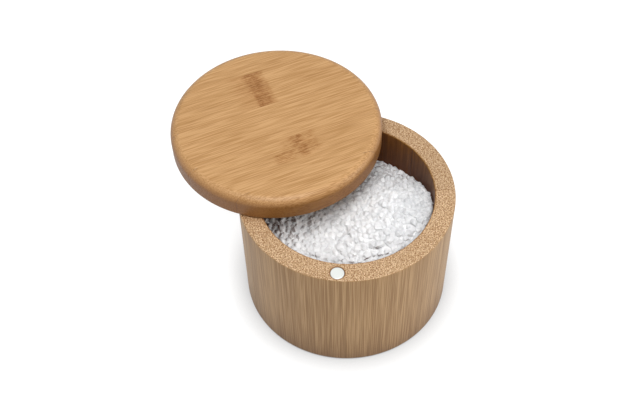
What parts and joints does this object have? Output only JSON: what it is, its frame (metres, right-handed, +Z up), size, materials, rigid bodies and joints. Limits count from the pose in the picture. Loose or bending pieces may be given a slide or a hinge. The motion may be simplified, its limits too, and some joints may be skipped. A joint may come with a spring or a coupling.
{
  "type": "salt box",
  "caption": "Round laminated bamboo salt box, heaped with coarse salt, whose flat lid swivels sideways on a pin in the wall and is held shut by disc magnets.",
  "frame": {"origin": "centre of the vessel's flat base, under the middle of its round mouth", "axes": "+Z up out of the mouth, +X along the glue seams of the vessel's boards, +Y towards the side of the wall that holds the pivot pin"},
  "size_m": [0.119, 0.1187, 0.0704],
  "materials": {
    "vessel_bamboo": "satin",
    "lid_bamboo": "satin",
    "pin_steel": "satin",
    "magnet_plating": "polished",
    "salt": "matte"
  },
  "bodies": {
    "vessel": {"vessel_board_1": "vessel_bamboo", "vessel_board_2": "vessel_bamboo", "vessel_board_3": "vessel_bamboo", "vessel_board_4": "vessel_bamboo", "vessel_magnet": "magnet_plating", "salt": "salt"},
    "lid": {"lid_strip_1": "lid_bamboo", "lid_strip_2": "lid_bamboo", "lid_strip_3": "lid_bamboo", "lid_strip_4": "lid_bamboo", "lid_strip_5": "lid_bamboo", "pivot_pin": "pin_steel", "lid_magnet": "magnet_plating"}
  },
  "joints": [
    {"name": "lid_swivel", "type": "hinge", "parent": "vessel", "child": "lid", "pos_m": [0.00927, 0.03922, 0.0594], "axis": [0, 0, 1], "continuous": true}
  ]
}
